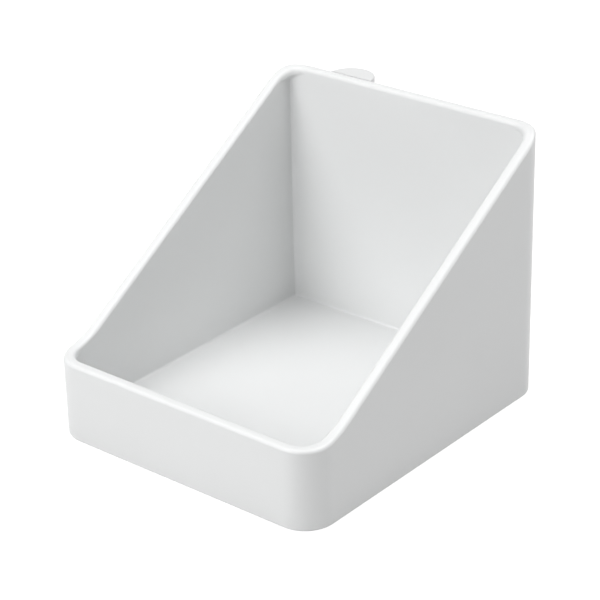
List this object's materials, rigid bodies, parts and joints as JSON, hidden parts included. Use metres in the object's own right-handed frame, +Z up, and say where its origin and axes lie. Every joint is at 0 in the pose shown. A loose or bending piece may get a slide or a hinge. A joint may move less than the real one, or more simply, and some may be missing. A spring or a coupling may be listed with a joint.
{
  "type": "pegboard tray",
  "caption": "Open moulded tray with a low front, sloped sides and a high back, hung on a slotted board by hook clips that slide into dovetail sockets on its rear wall.",
  "frame": {"origin": "middle of the tray's base outline, on its underside", "axes": "+X to the right seen from the front, +Y towards the board, +Z up"},
  "size_m": [0.1, 0.122, 0.0867],
  "materials": {
    "tray_abs": "white moulded ABS with a fine satin grain",
    "clip_abs": "white moulded ABS with a fine satin grain"
  },
  "bodies": {
    "tray": {"tray_body": "tray_abs"},
    "upper_hook": {"hook_clip_upper": "clip_abs"},
    "lower_hook": {"hook_clip_lower": "clip_abs"}
  },
  "joints": [
    {"name": "upper_hook_slide", "type": "slide", "parent": "tray", "child": "upper_hook", "axis": [0, 0, -1], "range_m": [0, 0.0145]},
    {"name": "lower_hook_slide", "type": "slide", "parent": "tray", "child": "lower_hook", "axis": [0, 0, -1], "range_m": [0, 0.0145]}
  ]
}
